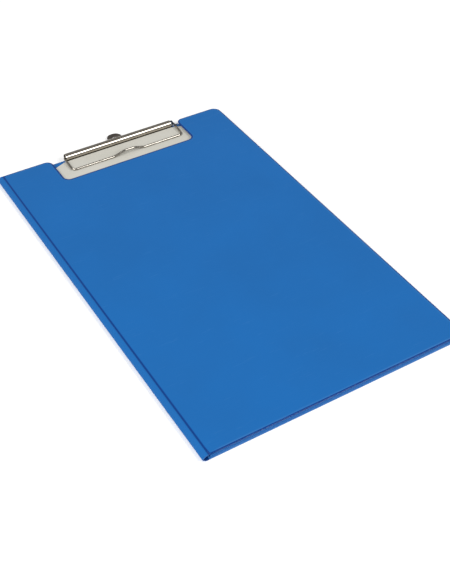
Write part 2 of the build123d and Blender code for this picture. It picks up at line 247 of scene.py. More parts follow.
# %% Group: handling marks
SCRATCH_WAYS = ((0.5, 14.0), (2.1, 18.0))   # each a turn in radians and a squeeze
SCRATCH_PEAK = (0.66, 0.72)  # where the noise begins to be a scratch, and where it is all one
PATCH_RANGE = (0.35, 0.65)   # the part of the noise that is spread from polished to dulled


def marks_group():
    group, given, result = shader_group(
        "handling marks", {"Patch Scale": 25.0, "Scratch Scale": 60.0}, ["Patches", "Scratches"]
    )
    patches = pattern(group, "ShaderNodeTexNoise", Detail=4.0, Roughness=0.55)
    link(group, given.outputs["Patch Scale"], patches.inputs["Scale"])
    link(group, remap(group, patches.outputs["Fac"], *PATCH_RANGE), result.inputs["Patches"])
    lines = []
    for turn, squeeze in SCRATCH_WAYS:
        squeezed = (1.0, squeeze, squeeze)
        noise = pattern(group, "ShaderNodeTexNoise", turn, squeezed, Detail=3.0, Roughness=0.6)
        link(group, given.outputs["Scratch Scale"], noise.inputs["Scale"])
        lines.append(remap(group, noise.outputs["Fac"], *SCRATCH_PEAK))
    link(group, math_node(group, "MAXIMUM", *lines), result.inputs["Scratches"])
    return group


marks = marks_group()
print("group:", marks.name)

# %% [markdown]
# Drawn wire and rolled strip carry faint lines along the way that they were pulled. Lines
# along each piece would need a map of its surface. One noise, drawn out along X, is enough
# for all the metal here, because the barrel, the long run of the bow and the strip all run
# that way.

# %% Group: drawn lines
DRAWN_OUT = (0.03, 1.0, 1.0)
DRAWN_RANGE = (0.3, 0.7)     # the part of the noise that is spread from smooth to lined


def drawn_group():
    group, given, result = shader_group("drawn lines", {"Scale": 900.0}, ["Lines"])
    noise = pattern(group, "ShaderNodeTexNoise", 0.0, DRAWN_OUT, Detail=3.0, Roughness=0.6)
    link(group, given.outputs["Scale"], noise.inputs["Scale"])
    link(group, remap(group, noise.outputs["Fac"], *DRAWN_RANGE), result.inputs["Lines"])
    return group


drawn = drawn_group()
print("group:", drawn.name)


# %% [markdown]
# ## Materials
#
# Each material starts from a Principled BSDF, and its patterns lie in the object's own
# coordinates, so that they need no unwrapping. Colours are given as they look on screen
# and are turned into the linear values that the shader works in.

# %% Helpers for materials
finishes = {}                # every material by name: its slot in the record, or the floor


def linear(red, green, blue):
    """A screen colour, 0 to 255 each, as the linear colour that a shader wants."""
    def one(value):
        share = value / 255
        return share / 12.92 if share <= 0.04045 else ((share + 0.055) / 1.055) ** 2.4
    return (one(red), one(green), one(blue), 1.0)


def new_material(name, **values):
    """A material with a Principled BSDF; the values go to the sockets of those names."""
    made = finishes[name] = bpy.data.materials.new(name)
    made.use_nodes = True
    shader = made.node_tree.nodes["Principled BSDF"]
    for key, value in values.items():
        shader.inputs[key.replace("_", " ")].default_value = value
    return made.node_tree, shader


def use_group(tree, group, **values):
    """Places a shader group in a material and sets its inputs."""
    return node(tree, "ShaderNodeGroup", node_tree=group, **values)


def mix_colours(tree, share, first, second):
    """A colour between two others; each may be a colour or a socket."""
    made = node(tree, "ShaderNodeMix", data_type="RGBA")
    link(tree, share, made.inputs[0])
    for socket, value in ((made.inputs[6], first), (made.inputs[7], second)):
        if isinstance(value, tuple):
            socket.default_value = value
        else:
            link(tree, value, socket)
    return made.outputs[2]


def bump(tree, shader, height, distance, strength=1.0):
    """Feeds a height in metres to the shader as a bump."""
    made = node(tree, "ShaderNodeBump", Strength=strength, Distance=distance)
    link(tree, height, made.inputs["Height"])
    link(tree, made.outputs["Normal"], shader.inputs["Normal"])
    return made


# %% [markdown]
# The blue PVC is satin, with the grain pressed into it. Two attributes of the mesh say
# where a sheet is paler or darker. The first is 1 on the bead at the edge, which hands rub
# pale, and on lit edges and ribs, where the pale colour is a painted highlight. The second
# is 1 where heat and pressure left the vinyl glassy and dark, and in creases, gaps and
# round the window, where the dark colour is painted shade. Besides the fine grain there is
# a second, very low and broad bump, because a soft sheet is never optically flat.

# %% Material: blue PVC
# dark glassy colour of the weld, also painted shade in creases, gaps and at the window's edge
WELD_AND_SHADE_COLOUR = linear(3, 48, 116)  # the same vinyl where the weld has made it glassy
WELD_AND_SHADE_SHARE = 0.9             # how much of that colour a full weld shows
WELD_GLOSS = 0.14            # how much roughness the weld takes away
PATCH_TONE = 0.94            # how bright the body still is in a dulled patch
PATCH_GLOSS = (-0.04, 0.05)  # change of roughness in a polished patch, and in a dulled one
SCRATCH_SHARE = 0.08         # how much of the rubbed colour a scratch shows
# the bead's pale colour is rubbing and painted highlight
LEAST_RUB_AND_HIGHLIGHT = 0.4           # share of the bead's rub in a polished patch
GRAIN_HEIGHT = 0.03 * MM
WAVE_HEIGHT = 0.12 * MM


def attribute(tree, name):
    """A number that the mesh carries."""
    made = tree.nodes.new("ShaderNodeAttribute")
    made.attribute_name = name
    return made.outputs["Fac"]


def toned_down(colour, share):
    """A colour made darker."""
    return tuple(channel * share for channel in colour[:3]) + (1.0,)


def pvc_material(name, body, rubbed_and_lit, rim_share, roughness):
    """Satin vinyl: its colour, a pale colour for rubbing and painted highlight, how much that shows,
    and roughness.
    """
    tree, shader = new_material(name, Roughness=roughness, IOR=1.5, Specular_IOR_Level=0.28)
    worn = use_group(tree, marks, Patch_Scale=14.0, Scratch_Scale=45.0)
    patches, weld = worn.outputs["Patches"], attribute(tree, "weld")
    toned = mix_colours(tree, patches, body, toned_down(body, PATCH_TONE))
    # the glassy weld, and painted shade, darken the colour here
    welded_and_shaded = mix_colours(tree, math_node(tree, "MULTIPLY", weld, WELD_AND_SHADE_SHARE), toned, WELD_AND_SHADE_COLOUR)
    patchy = remap(tree, patches, 0.0, 1.0, LEAST_RUB_AND_HIGHLIGHT, 1.0)
    # the bead's pale rub, and painted highlight on lit edges and ribs
    rim = math_node(tree, "MULTIPLY", attribute(tree, "rim"), patchy)
    share = math_node(tree, "MULTIPLY", rim, rim_share)
    marked = math_node(tree, "MULTIPLY_ADD", worn.outputs["Scratches"], SCRATCH_SHARE, share)
    link(tree, mix_colours(tree, marked, welded_and_shaded, rubbed_and_lit), shader.inputs["Base Color"])
    polished, dulled = (roughness + change for change in PATCH_GLOSS)
    gloss = remap(tree, patches, 0.0, 1.0, polished, dulled)
    sheen = math_node(tree, "MULTIPLY_ADD", weld, -WELD_GLOSS, gloss)
    link(tree, sheen, shader.inputs["Roughness"])
    broad = pattern(tree, "ShaderNodeTexNoise", Scale=55.0, Detail=1.0)
    waves = bump(tree, shader, broad.outputs["Fac"], WAVE_HEIGHT, 0.5)
    pebbles = use_group(tree, grain, Scale=1700.0)
    fine = bump(tree, shader, pebbles.outputs["Height"], GRAIN_HEIGHT, 0.35)
    link(tree, waves.outputs["Normal"], fine.inputs["Normal"])


# body colour, then the pale colour for rubbing and painted highlight
pvc_material("blue_pvc", linear(20, 96, 164), linear(86, 140, 194), 0.5, 0.42)
pvc_material("pocket_pvc", linear(18, 88, 152), linear(80, 132, 184), 0.3, 0.3)
print("materials:", *finishes)

# %% [markdown]
# Grey board is pressed from waste paper: a dull ground with darker and lighter fibres.
# On the folder it is sealed in vinyl and hardly shows, so two noises are enough.

# %% Material: grey board
FIBRE_RANGE = (0.3, 0.7)     # the part of the noise that is spread from dark to pale
FLECK_RANGE = (0.62, 0.7)    # where the broad noise begins to be a fleck, and where it is all one
FLECK_SHARE = 0.5
FIBRE_HEIGHT = 0.05 * MM


def board_material():
    tree, shader = new_material("grey_board", Roughness=0.9)
    fibres = pattern(tree, "ShaderNodeTexNoise", Scale=900.0, Detail=5.0, Roughness=0.7)
    clumps = pattern(tree, "ShaderNodeTexNoise", Scale=120.0, Detail=3.0)
    pale, dark, fleck = linear(168, 160, 146), linear(120, 113, 103), linear(96, 92, 88)
    toned = mix_colours(tree, remap(tree, fibres.outputs["Fac"], *FIBRE_RANGE), dark, pale)
    speckle = remap(tree, clumps.outputs["Fac"], *FLECK_RANGE, 0.0, FLECK_SHARE)
    link(tree, mix_colours(tree, speckle, toned, fleck), shader.inputs["Base Color"])
    bump(tree, shader, fibres.outputs["Fac"], FIBRE_HEIGHT)


board_material()
print("materials:", *finishes)

# %% [markdown]
# The light sheet in the window is smooth coated paper. A flat grey would look like plastic,
# so it gets faint clouding, a fine tooth and a little dirt in its scratches.

# %% Material: lining
DIRT_SHARE = 0.12            # how much of the dirt's colour a scratch shows
TOOTH_HEIGHT = 0.012 * MM


def lining_material():
    tree, shader = new_material("lining", Roughness=0.55, Specular_IOR_Level=0.35)
    tooth = pattern(tree, "ShaderNodeTexNoise", Scale=2200.0, Detail=3.0)
    worn = use_group(tree, marks, Patch_Scale=30.0, Scratch_Scale=80.0)
    clean, clouded, dirty = linear(190, 188, 180), linear(184, 182, 172), linear(150, 146, 136)
    toned = mix_colours(tree, worn.outputs["Patches"], clean, clouded)
    dirt = math_node(tree, "MULTIPLY", worn.outputs["Scratches"], DIRT_SHARE)
    link(tree, mix_colours(tree, dirt, toned, dirty), shader.inputs["Base Color"])
    bump(tree, shader, tooth.outputs["Fac"], TOOTH_HEIGHT, 0.5)


lining_material()
print("materials:", *finishes)

# %% [markdown]
# Four metals share one recipe: full metallic, a roughness that follows the drawn lines
# and the hair scratches, and patches where the plating has dulled. The clip's base is also
# dark brown low down, in the crevice under its barrel, where no cloth reaches: some dust,
# and painted shade. Height and depth alone say where it lies.

# %% Material: plated and blued metals
LINE_SHARE = 0.6             # how much the drawn lines roughen, where a scratch does it fully
LINE_HEIGHT = 0.004 * MM
# the crevice colour under the barrel: dust, and painted shade
CREVICE_DUST_AND_SHADE = linear(70, 60, 46)
CREVICE_SHADE_SHARE = 0.9            # how much of its colour shows where it lies thickest
CREVICE_SHADE_FLOOR = (2.95 * MM, 3.9 * MM)   # all grime below the first height, none above the second
CREVICE_SHADE_FRONT = (166 * MM, 168 * MM)    # none in front of the first place, all behind the second


def metal_material(name, bright, dull, smooth, rough, dusty_and_shaded=False):
    """Plated or blued metal: its two tones, and its least and greatest roughness."""
    tree, shader = new_material(name, Metallic=1.0)
    lines = use_group(tree, drawn, Scale=900.0)
    worn = use_group(tree, marks, Patch_Scale=140.0, Scratch_Scale=260.0)
    colour = mix_colours(tree, worn.outputs["Patches"], bright, dull)
    # dust and painted shade in the crevice under the barrel
    if dusty_and_shaded:
        place, split = tree.nodes.new("ShaderNodeTexCoord"), tree.nodes.new("ShaderNodeSeparateXYZ")
        link(tree, place.outputs["Object"], split.inputs["Vector"])
        low_down = remap(tree, split.outputs["Z"], *CREVICE_SHADE_FLOOR, CREVICE_SHADE_SHARE, 0.0)
        far_back = remap(tree, split.outputs["Y"], *CREVICE_SHADE_FRONT)
        dust_and_shade = math_node(tree, "MULTIPLY", low_down, far_back)
        colour = mix_colours(tree, dust_and_shade, colour, CREVICE_DUST_AND_SHADE)
    link(tree, colour, shader.inputs["Base Color"])
    streaks = math_node(tree, "MULTIPLY", lines.outputs["Lines"], LINE_SHARE)
    marked = math_node(tree, "MAXIMUM", streaks, worn.outputs["Scratches"])
    link(tree, remap(tree, marked, 0.0, 1.0, smooth, rough), shader.inputs["Roughness"])
    bump(tree, shader, lines.outputs["Lines"], LINE_HEIGHT, 0.4)


metal_material("nickel_plate", linear(184, 177, 166), linear(172, 164, 152), 0.06, 0.16, dusty_and_shaded=True)
metal_material("nickel_wire", linear(178, 172, 162), linear(162, 156, 146), 0.1, 0.22)
# the hook's darker colour is painted shade, for the barrel's shade over it
metal_material("dark_nickel", linear(134, 126, 118), linear(106, 98, 92), 0.3, 0.5)
metal_material("spring_steel", linear(82, 94, 110), linear(58, 68, 82), 0.4, 0.55)
print("materials:", *finishes)

# %% [markdown]
# The bushes in the barrel are moulded in black plastic, in a mould with a fine texture. The
# grain of the vinyl, three times finer, gives it, so no new pattern is needed.

# %% Material: black plastic
TEXTURE_HEIGHT = 0.01 * MM


def plastic_material():
    tree, shader = new_material("black_plastic", Roughness=0.45)
    worn = use_group(tree, marks, Patch_Scale=200.0, Scratch_Scale=300.0)
    black, faded = linear(24, 24, 26), linear(40, 40, 43)
    link(tree, mix_colours(tree, worn.outputs["Patches"], black, faded), shader.inputs["Base Color"])
    pebbles = use_group(tree, grain, Scale=5000.0)
    bump(tree, shader, pebbles.outputs["Height"], TEXTURE_HEIGHT, 0.5)


plastic_material()
print(len(finishes), "finishes")

# %% [markdown]
# ## Carried-over CAD nodes
#
# A node whose shape is right stays as it is and only gets its finish. The record says
# which finish each node has.

# %% Finish the CAD nodes
for subpart in frame["record"]["subparts"]:
    carried = nodes[subpart["node"]]
    carried.data.materials.clear()
    carried.data.materials.append(finishes[subpart["material_slot"]])
print("finished", len(nodes), "CAD nodes")

# %% [markdown]
# ## Helpers for meshes
#
# A finished piece is one plain mesh at the origin. Its faces are smooth, with the edges
# that turn sharply marked, so that a flat face next to a bend stays flat. Modifiers could
# stay live on a piece, but a plain mesh holds no surprises later: they are put on a
# stand-in, and the piece takes the evaluated result.

# %% Helpers for finished pieces
def piece_from(name, mesh, finish, body=None):
    """Links a finished mesh as a piece with that finish, riding on a body if one is named."""
    mesh.materials.clear()
    mesh.materials.append(finishes[finish])
    made = linked(name, mesh)
    if body:
        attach(made, body)
    print(name, len(mesh.vertices), "points,", len(mesh.polygons), "faces")
    return made


def smooth(mesh, sharp_angle=50.0):
    """Shades a mesh smooth, apart from edges that turn by more than that angle."""
    work = bmesh.new()
    work.from_mesh(mesh)
    for edge in work.edges:
        bends = edge.is_manifold and edge.calc_face_angle() > math.radians(sharp_angle)
        edge.smooth = not bends
    for face in work.faces:
        face.smooth = True
    work.to_mesh(mesh)
    work.free()
    return mesh


# %% Helpers for modifiers
def evaluated(holder):
    """The plain mesh that an object's modifiers make; the object itself is removed."""
    depsgraph = bpy.context.evaluated_depsgraph_get()
    result = bpy.data.meshes.new_from_object(holder.evaluated_get(depsgraph))
    result.name = holder.name
    bpy.data.objects.remove(holder)
    return result


def baked(name, mesh, *modifiers):
    """The mesh with modifiers applied; each is a kind and a dict of settings."""
    holder = linked(name, mesh)
    for kind, settings in modifiers:
        added = holder.modifiers.new(kind.lower(), kind)
        for key, value in settings.items():
            setattr(added, key, value)
    return evaluated(holder)


def mesh_of(name, work):
    """A mesh from a bmesh, which is freed."""
    mesh = bpy.data.meshes.new(name)
    work.to_mesh(mesh)
    work.free()
    return mesh


# %% [markdown]
# ## Softened copies of the rigid pieces
#
# The frame's rigid pieces have the right shape, with edges as sharp as a drawing's. Real
# strip and mouldings have broken edges, and those are what catches the light. Modelling
# the pieces again would only repeat the frame's work. A node's own mesh is loose triangles
# and stays as it is: a copy is merged, its flat faces are joined again, and a narrow bevel
# goes round every sharp edge.

# %% Bevel copies of the rigid nodes
HAIR = 0.001 * MM            # two places nearer than this are one
SHARP_EDGE = math.radians(38)
FLAT_EDGE = math.radians(0.6)


def softened(name, node_name, finish, body, width):
    """A copy of a CAD node with its sharp edges broken; it stands for the node."""
    work = bmesh.new()
    work.from_mesh(nodes[node_name].data)
    bmesh.ops.remove_doubles(work, verts=work.verts, dist=HAIR)
    bmesh.ops.dissolve_limit(work, angle_limit=FLAT_EDGE, verts=work.verts, edges=work.edges)
    mesh = mesh_of(name, work)
    if "custom_normal" in mesh.attributes:
        mesh.attributes.remove(mesh.attributes["custom_normal"])
    edge = {"width": width, "segments": 2, "limit_method": "ANGLE", "angle_limit": SHARP_EDGE}
    made = piece_from(name, smooth(baked(name, mesh, ("BEVEL", edge)), 20.0), finish, body)
    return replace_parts(made, node_name)


softened("base_strip", "clip_base", "nickel_plate", "back_panel", 0.08 * MM)
softened("rivet_pair", "clip_rivets", "nickel_plate", "back_panel", 0.08 * MM)
softened("hook_strip", "hanging_hook", "dark_nickel", "hook", 0.12 * MM)
softened("bush_pair", "barrel_bushes", "black_plastic", "back_panel", 0.15 * MM)

# %% [markdown]
# ## The outline of a panel
#
# A panel's outline is a loop of corners, each with its own radius. A curve could be
# offset, but its points would not match. The same loop is drawn in by any distance and
# keeps its number of points, so that two loops can be bridged face by face. Drawing in
# makes an outer corner's radius smaller and an inner one's larger.

# %% Outlines with rounded corners
ARC_STEPS = 10
RUN_STEP = 6 * MM
sheet_x = crease_x + CREASE_GAP

back_corners = [
    (sheet_x, bottom_y, 0.0),
    (free_x, bottom_y, CORNER_RADIUS),
    (free_x, top_y, CORNER_RADIUS),
    (sheet_x, top_y, 0.0),
]
cover_corners = back_corners[:3] + [
    (window_right, top_y, WINDOW_MOUTH_RADIUS),
    (window_right, window_floor, WINDOW_FLOOR_RADIUS),
    (window_left, window_floor, WINDOW_FLOOR_RADIUS),
    (window_left, top_y, WINDOW_MOUTH_RADIUS),
] + back_corners[3:]


def corner_frames(corners, inset):
    """For each corner: its place when drawn in, the way in, the inward side, radius and turn."""
    frames = []
    for index, (x, y, radius) in enumerate(corners):
        before, after = corners[index - 1], corners[(index + 1) % len(corners)]
        way_in = Vector((x - before[0], y - before[1])).normalized()
        way_out = Vector((after[0] - x, after[1] - y)).normalized()
        left_in, left_out = way_in.orthogonal(), way_out.orthogonal()
        side = 1 if way_in.cross(way_out) > 0 else -1
        place = Vector((x, y)) + inset * (left_in + left_out)
        frames.append((place, way_in, left_in, radius - side * inset if radius else 0.0, side))
    return frames


def arc_points(place, way_in, left_in, radius, side):
    """A corner's points: one if it is sharp, otherwise an arc of a quarter turn."""
    if not radius:
        return [place]
    centre = place - way_in * radius + left_in * (side * radius)
    points = []
    for step in range(ARC_STEPS + 1):
        angle = math.pi / 2 * step / ARC_STEPS
        spoke = left_in * (-side * math.cos(angle)) + way_in * math.sin(angle)
        points.append(centre + spoke * radius)
    return points


def outline(corners, inset=0.0, step=RUN_STEP):
    """The loop of points, anticlockwise, drawn in by inset; always the same number."""
    plain = [arc_points(*place) for place in corner_frames(corners, 0.0)]
    drawn_in = [arc_points(*place) for place in corner_frames(corners, inset)]
    points = []
    for index, arc in enumerate(drawn_in):
        following = (index + 1) % len(corners)
        gap = (plain[following][0] - plain[index][-1]).length
        steps = round(gap / step)
        run = drawn_in[following][0] - arc[-1]
        points += arc + [arc[-1] + run * (count / steps) for count in range(1, steps)]
    return points


print("outline points:", len(outline(back_corners)), "back,", len(outline(cover_corners)), "cover")

# %% [markdown]
# ## Sheets welded over boards
#
# Cloth could be dropped over the boards, but a welded edge has a known section, so the
# section is written down and carried round. A sheet is built from rings. Each ring is the
# outline drawn in by one step of a profile, at that step's height: from the cut edge, over
# the weld, up the side of the board and on to the flat. The flat is filled with a net of
# triangles, so that it can lie in a slight wave.

# %% Bridge the rings and fill the last one
NET_STEP = 9 * MM


def bridge(work, rings):
    """Joins each ring of vertices to the next one with faces."""
    for near, far in zip(rings, rings[1:]):
        for index in range(len(near)):
            after = (index + 1) % len(near)
            work.faces.new((near[index], near[after], far[after], far[index]))


def fill_net(work, ring, height, net_step=NET_STEP):
    """Fills a ring of vertices with triangles over an even net of points."""
    points = [vertex.co.xy for vertex in ring]
    edges = [(i, (i + 1) % len(points)) for i in range(len(points))]
    low_x, high_x = min(p.x for p in points), max(p.x for p in points)
    low_y, high_y = min(p.y for p in points), max(p.y for p in points)
    columns, rows = int((high_x - low_x) / net_step), int((high_y - low_y) / net_step)
    net = [
        Vector((low_x + (high_x - low_x) * i / columns, low_y + (high_y - low_y) * j / rows))
        for i in range(1, columns)
        for j in range(1, rows)
    ]
    found, _, faces, origins, _, _ = delaunay_2d_cdt(points + net, edges, [], 1, HAIR / 10)
    placed = []
    for place, sources in zip(found, origins):
        at_ring = [source for source in sources if source < len(points)]
        placed.append(ring[at_ring[0]] if at_ring else work.verts.new((*place, height)))
    for face in faces:
        work.faces.new([placed[index] for index in face])
    bmesh.ops.delete(work, geom=[v for v in work.verts if not v.link_faces], context="VERTS")


# %% [markdown]
# The welding tool isn't the same all round. Along the crease a bar presses a hinge line, so
# the sheet dips there, and its dark glassy colour is also painted shade for the groove.
# Round the window the pressed edge is wider and dark, which is painted shade for the
# window's shadowed edges, and its bead isn't rubbed. These two rules could be profiles of
# their own, but then the rings would no longer match at the corners.

# %% Where the tool presses differently
CREASE_REACH = 1.0 * MM      # how wide the pressed hinge line is, on each side
CREASE_DEPTH = 0.3 * MM
# the glassy look in the crease also paints its shade
CREASE_SHADE_RATE = 1.8           # how fast the glassy look grows towards the crease
WINDOW_REACH = 3 * MM
# the pressed edge round the window is painted dark, as shade on that edge
WINDOW_SHADED_EDGE = 1.5 * MM       # width of the pressed edge round the window


def beside_crease(point, inset, height, top, weld):
    """Depth, and weld with painted shade, beside the crease, where a bar pressed the hinge line."""
    share = max(0.0, 1 - inset / CREASE_REACH)
    depth, pressed_and_shaded = CREASE_DEPTH * share**2, min(1.0, CREASE_SHADE_RATE * share)
    if min(top_y - point.y, point.y - bottom_y) < inset + HAIR:
        depth, pressed_and_shaded = max(depth, abs(top - height)), max(pressed_and_shaded, weld)
    return depth, pressed_and_shaded


def at_window(point):
    """Whether a point lies at the window's edge, or on the panel's edge behind the window."""
    across = window_left - WINDOW_REACH < point.x < window_right + WINDOW_REACH
    return across and point.y > window_floor - WINDOW_REACH


# %% [markdown]
# One function makes every sheet, because only their profiles differ. Two attributes travel
# with the sheet. The first is 1 on the raised bead that hands rub pale, and where a pale
# colour is a painted highlight on lit edges. The second is 1 where heat and pressure have
# made the vinyl glassy and dark, and where a dark colour is painted shade in creases, gaps
# and round the window. The material reads both. A Solidify modifier gives the sheet its
# thickness.

# %% One sheet from its profile
def flat(x, y):
    """A sheet that lies flat."""
    return 0.0


def sheet_mesh(name, corners, profile, lift, upward, creased, cutters=(), thickness=SHEET):
    """One sheet. Its profile gives inset, height, pale rub with painted highlight, and weld with
    painted shade; lift raises each place.
    """
    work = bmesh.new()
    rim, weld = work.verts.layers.float.new("rim"), work.verts.layers.float.new("weld")
    top = profile[-1][1]
    rings = []
    for inset, height, rubbed_and_lit, welded_and_shaded in profile:
        ring = []
        for point in outline(corners, inset):
            at_crease = creased and abs(point.x - sheet_x - inset) < HAIR
            place, glassy_and_shaded, pale = height, welded_and_shaded, rubbed_and_lit
            # round the window and beside the crease, the dark weld colour is also painted shade
            if at_window(point) and inset < WINDOW_SHADED_EDGE:
                glassy_and_shaded, pale = 1.0, 0.0
            if at_crease:
                depth, glassy_and_shaded = beside_crease(point, inset, height, top, welded_and_shaded)
                place, pale = top - math.copysign(depth, top - profile[0][1]), 0.0
            ring.append(work.verts.new((*point, place)))
            ring[-1][rim], ring[-1][weld] = pale, glassy_and_shaded
        rings.append(ring)
    bridge(work, rings)
    fill_net(work, rings[-1], top)
    if not upward:
        bmesh.ops.reverse_faces(work, faces=work.faces)
    for vertex in work.verts:
        vertex.co.z += lift(vertex.co.x, vertex.co.y)
    work.normal_update()
    shell = {"thickness": thickness, "offset": -1.0, "use_even_offset": True}
    cuts = [("BOOLEAN", {"object": cutter, "operation": "DIFFERENCE"}) for cutter in cutters]
    made = baked(name, mesh_of(name, work), ("SOLIDIFY", shell), *cuts)
    for cutter in cutters:
        bpy.data.objects.remove(cutter)
    return smooth(made)


# %% [markdown]
# The weld is pressed a little below the flat, and heat has rounded the cut edge. The
# outer sheets stay nearly flat, with a shallow channel at the edge and a bead behind it.
# The inner ones are drawn over the boards, with a small radius at the foot and a larger
# one at the shoulder.

# %% Profiles of the sheets: inset and height in millimetres, pale rub with highlight, and weld with shade
FLANGE = 1.1                 # width of the flat welded edge
# the outer channel is dark as weld and as painted shade under the edge; its bead is pale as rub and
# painted highlight
outer_profile = [
    (0.00, -0.29, 0.0, 1.0), (0.05, -0.21, 0.0, 1.0), (0.15, -0.17, 0.0, 1.0), (0.4, -0.2, 0.0, 1.0),
    (0.7, -0.21, 0.0, 1.0), (0.92, -0.16, 0.0, 1.0), (1.06, -0.07, 0.3, 0.4), (1.2, -0.01, 0.6, 0.0),
    (1.4, 0.0, 0.6, 0.0), (1.65, -0.03, 0.3, 0.0), (2.0, -0.02, 0.1, 0.0), (2.8, 0.0, 0.0, 0.0),
]
# the inner flange is pale as rub and painted light on its lit edge; the shoulder is dark as painted
# shade under the cover's edge
inner_profile = [
    (0.0, 0.0, 0.0, 0.5), (0.06, 0.16, 0.5, 0.3), (0.2, 0.3, 1.0, 0.1), (0.45, 0.33, 1.0, 0.0),
    (1.0, 0.33, 0.8, 0.1), (1.22, 0.42, 0.3, 0.4), (1.38, 0.65, 0.0, 0.3), (1.46, 1.0, 0.0, 0.1),
    (1.5, 1.35, 0.1, 0.0), (1.58, 1.64, 0.1, 0.4), (1.78, 1.89, 0.0, 0.7), (2.1, 2.03, 0.0, 0.7),
    (2.6, 2.07, 0.0, 0.3), (3.2, 2.08, 0.0, 0.0),
]
inner_rise = inner_profile[-1][1] * MM
print("as drawn, the inner sheets rise", inner_profile[-1][1], "mm")


def shaded_glassy_flange(profile):
    """The same profile with its welded edge dark, as weld and painted shade, instead of pale."""
    return [
        (inset, height, 0.0, 1.0) if inset < FLANGE else (inset, height, rim, weld)
        for inset, height, rim, weld in profile
    ]


def scaled(profile, base, toward, height_scale=1.0):
    """A profile in metres, from a base height, upward or downward."""
    turn = toward * height_scale * MM
    return [(inset * MM, base + turn * height, rim, weld) for inset, height, rim, weld in profile]


# %% [markdown]
# Nothing glues a sheet to its board, so the cover's top sheet lies in broad waves that are
# about a tenth of a millimetre high. They can't be seen as a shape, only as a slow change
# in the sheen. Three sine waves that cross are plain enough to write, where a noise would
# need a seed. They die out towards the welds.

# %% Slack of the cover's top sheet
SLACK = 0.07 * MM
SLACK_WAVES = ((23.0, 11.0, 0.6), (-9.0, 31.0, 2.2), (41.0, 17.0, 4.1))   # along X, along Y, start
SLACK_START, SLACK_RUN = 3 * MM, 25 * MM   # from the edge to where it starts, and to grow


def slack(x, y):
    """How far the cover's top sheet stands off its board."""
    near_edge = min(x - sheet_x, free_x - x, top_y - y, y - bottom_y)
    beside_window = max(window_left - x, x - window_right, window_floor - y)
    room = min(1.0, max(0.0, min(near_edge, beside_window) - SLACK_START) / SLACK_RUN)
    waves = sum(math.sin(a * x + b * y + start) for a, b, start in SLACK_WAVES)
    return SLACK * room * room * (1 + waves / len(SLACK_WAVES))


print("the cover's top sheet stands off by less than", round(2 * SLACK / MM, 2), "mm")

# %% [markdown]
# The back panel's sheets have holes: two for the rivet heads, flush in the outer sheet,
# and a slot in the top edge of the inner one, where the hook comes out. A sheet made of
# rings has no place for a hole, so a Boolean modifier cuts each with a simple solid that
# is then removed.

# %% Helpers for cutters
def round_cutter(x, y, radius, low_z, high_z):
    """A round bar to cut with."""
    work = bmesh.new()
    bmesh.ops.create_cone(
        work, cap_ends=True, segments=48, radius1=radius, radius2=radius, depth=high_z - low_z
    )
    bmesh.ops.translate(work, verts=work.verts, vec=(x, y, (low_z + high_z) / 2))
    return linked("cutter", mesh_of("cutter", work))


def box_cutter(low, high):
    """A block to cut with, from its lowest to its highest corner."""
    work = bmesh.new()
    bmesh.ops.create_cube(work, size=1.0)
    size, middle = Vector(high) - Vector(low), (Vector(high) + Vector(low)) / 2
    for vertex in work.verts:
        vertex.co = middle + Vector(a * b for a, b in zip(vertex.co, size))
    return linked("cutter", mesh_of("cutter", work))


# %% Cut the back panel's holes
HEAD_CLEARANCE = 0.1 * MM
HOOK_WIDTH = 13.8 * MM
HOOK_SIDE, HOOK_FACE = 0.2 * MM, 0.08 * MM   # clearance beside the hook, and above and below
SLOT_DEPTH = 6 * MM
PAST = 1 * MM                # how far a cutter reaches past the sheet
rivet_low, rivet_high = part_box("clip_rivets")
hook_low, hook_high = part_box("hanging_hook")
head_radius = (rivet_high.y - rivet_low.y) / 2
hook_x = (hook_low.x + hook_high.x) / 2
rivet_y = (rivet_low.y + rivet_high.y) / 2
rivet_xs = (rivet_low.x + head_radius, rivet_high.x - head_radius)
head_cutters = [
    round_cutter(x, rivet_y, head_radius + HEAD_CLEARANCE, -PAST, PAST) for x in rivet_xs
]
slot_half = HOOK_WIDTH / 2 + HOOK_SIDE
slot_cutter = box_cutter(
    (hook_x - slot_half, top_y - SLOT_DEPTH, hook_low.z - HOOK_FACE),
    (hook_x + slot_half, top_y + PAST, hook_high.z + HOOK_FACE),
)
print("rivets at x", [round(x / MM, 1) for x in rivet_xs], "hook at x", round(hook_x / MM, 1))

# %% [markdown]
# With the profiles, the slack and the cutters there, the four sheets are four calls. The
# inner profile is scaled in height, so that each inner sheet ends where the frame's own
# sheet does.

# %% Make the four sheets
INNER_FOOT = 0.02 * MM       # between the two sheets, at the weld
back_inner_base = back_high.z + INNER_FOOT
cover_inner_base = cover_low.z - INNER_FOOT
back_rise = (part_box("back_inner_skin")[1].z - back_inner_base) / inner_rise
cover_rise = (cover_inner_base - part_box("cover_inner_skin")[0].z) / inner_rise


def make_sheet(name, node_name, body, mesh):
    """A sheet as a piece that stands for its CAD node."""
    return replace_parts(piece_from(name, mesh, "blue_pvc", body), node_name)


make_sheet("cover_outer_sheet", "cover_outer_skin", "front_cover", sheet_mesh(
    "cover_outer_sheet", cover_corners, scaled(outer_profile, cover_high.z, 1), slack, True, True
))
make_sheet("cover_inner_sheet", "cover_inner_skin", "front_cover", sheet_mesh(
    "cover_inner_sheet", cover_corners,
    scaled(shaded_glassy_flange(inner_profile), cover_inner_base, -1, cover_rise), flat, False, False
))
make_sheet("back_outer_sheet", "back_outer_skin", "back_panel", sheet_mesh(
    "back_outer_sheet", back_corners, scaled(outer_profile, back_low.z, -1), flat, False, True,
    head_cutters
))
make_sheet("back_inner_sheet", "back_inner_skin", "back_panel", sheet_mesh(
    "back_inner_sheet", back_corners, scaled(inner_profile, back_inner_base, 1, back_rise),
    flat, True, False, [slot_cutter]
))

